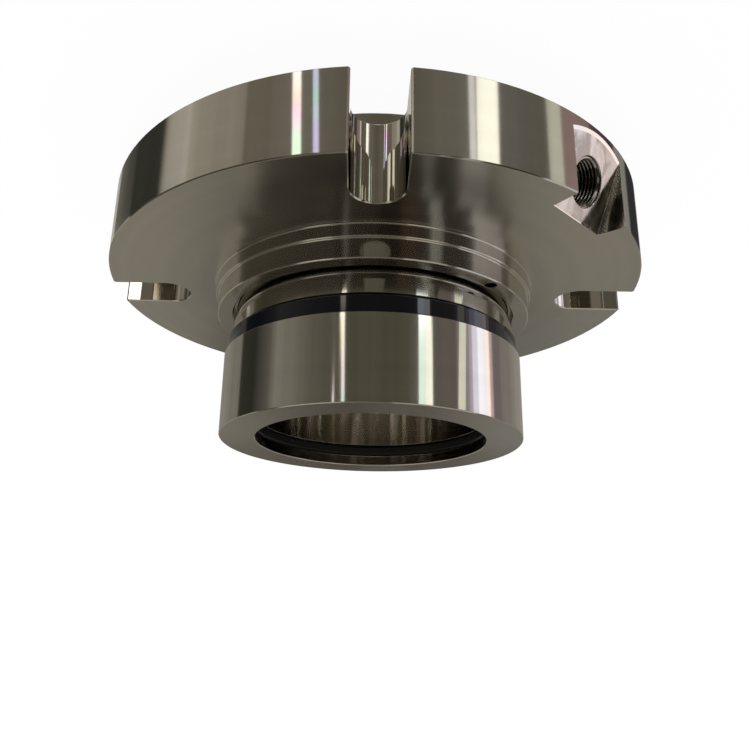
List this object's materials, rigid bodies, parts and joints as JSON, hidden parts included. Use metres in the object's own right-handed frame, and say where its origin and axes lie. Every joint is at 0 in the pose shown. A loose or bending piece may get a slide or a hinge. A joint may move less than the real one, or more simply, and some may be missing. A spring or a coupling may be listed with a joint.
{
  "type": "cartridge mechanical seal",
  "caption": "Steel cartridge seal for a pump shaft: round slotted flange with a stepped spigot, a rotating barrel head and a dark seal ring between them.",
  "frame": {"origin": "on the shaft axis, in the plane of the gland's mounting face", "axes": "+Z along the shaft axis towards the pump's wetted side; the flush port opens towards -X and -Y"},
  "size_m": [0.211, 0.211, 0.1083],
  "materials": {
    "stainless_turned": "fine turned",
    "stainless_barrel": "fine turned",
    "stainless_ring": "fine turned",
    "stainless_collar": "fine turned",
    "silicon_carbide": "lapped ceramic, glossy",
    "carbon": "satin carbon",
    "spring_steel": "plain",
    "pin_steel": "ground",
    "o_ring": "satin",
    "screw_steel": "plain",
    "clip_steel": "plain"
  },
  "bodies": {
    "gland": {"gland_plate": "stainless_turned", "anti_rotation_pin": "pin_steel", "clip_screws": "screw_steel", "wave_spring": "spring_steel"},
    "rotor": {"shaft_sleeve": "stainless_barrel", "rotary_face": "silicon_carbide", "shaft_o_ring": "o_ring", "rotary_face_o_ring": "o_ring", "drive_pins": "pin_steel", "drive_collar": "stainless_collar", "set_screws": "screw_steel"},
    "floating_face": {"face_holder": "stainless_ring", "stationary_face": "carbon", "stationary_face_o_ring": "o_ring", "holder_o_ring": "o_ring", "thrust_ring": "stainless_ring"},
    "clip_1": {"setting_clip_1": "clip_steel"},
    "clip_2": {"setting_clip_2": "clip_steel"},
    "clip_3": {"setting_clip_3": "clip_steel"},
    "clip_4": {"setting_clip_4": "clip_steel"}
  },
  "joints": [
    {"name": "rotor_spin", "type": "hinge", "parent": "gland", "child": "rotor", "pos_m": [0, 0, 0], "axis": [0, 0, 1], "continuous": true},
    {"name": "face_float", "type": "slide", "parent": "gland", "child": "floating_face", "axis": [0, 0, 1], "range_m": [-0.0018, 0], "stiffness_N_per_m": 20000, "springref_m": 0.00013, "deforming": ["wave_spring"]},
    {"name": "clip_1_swing", "type": "hinge", "parent": "gland", "child": "clip_1", "pos_m": [0.0656, 0.02717, -0.0335], "axis": [0, 0, 1], "range_deg": [0, 180]},
    {"name": "clip_2_swing", "type": "hinge", "parent": "gland", "child": "clip_2", "pos_m": [-0.02717, 0.0656, -0.0335], "axis": [0, 0, 1], "range_deg": [0, 180]},
    {"name": "clip_3_swing", "type": "hinge", "parent": "gland", "child": "clip_3", "pos_m": [-0.0656, -0.02717, -0.0335], "axis": [0, 0, 1], "range_deg": [0, 180]},
    {"name": "clip_4_swing", "type": "hinge", "parent": "gland", "child": "clip_4", "pos_m": [0.02717, -0.0656, -0.0335], "axis": [0, 0, 1], "range_deg": [0, 180]}
  ]
}
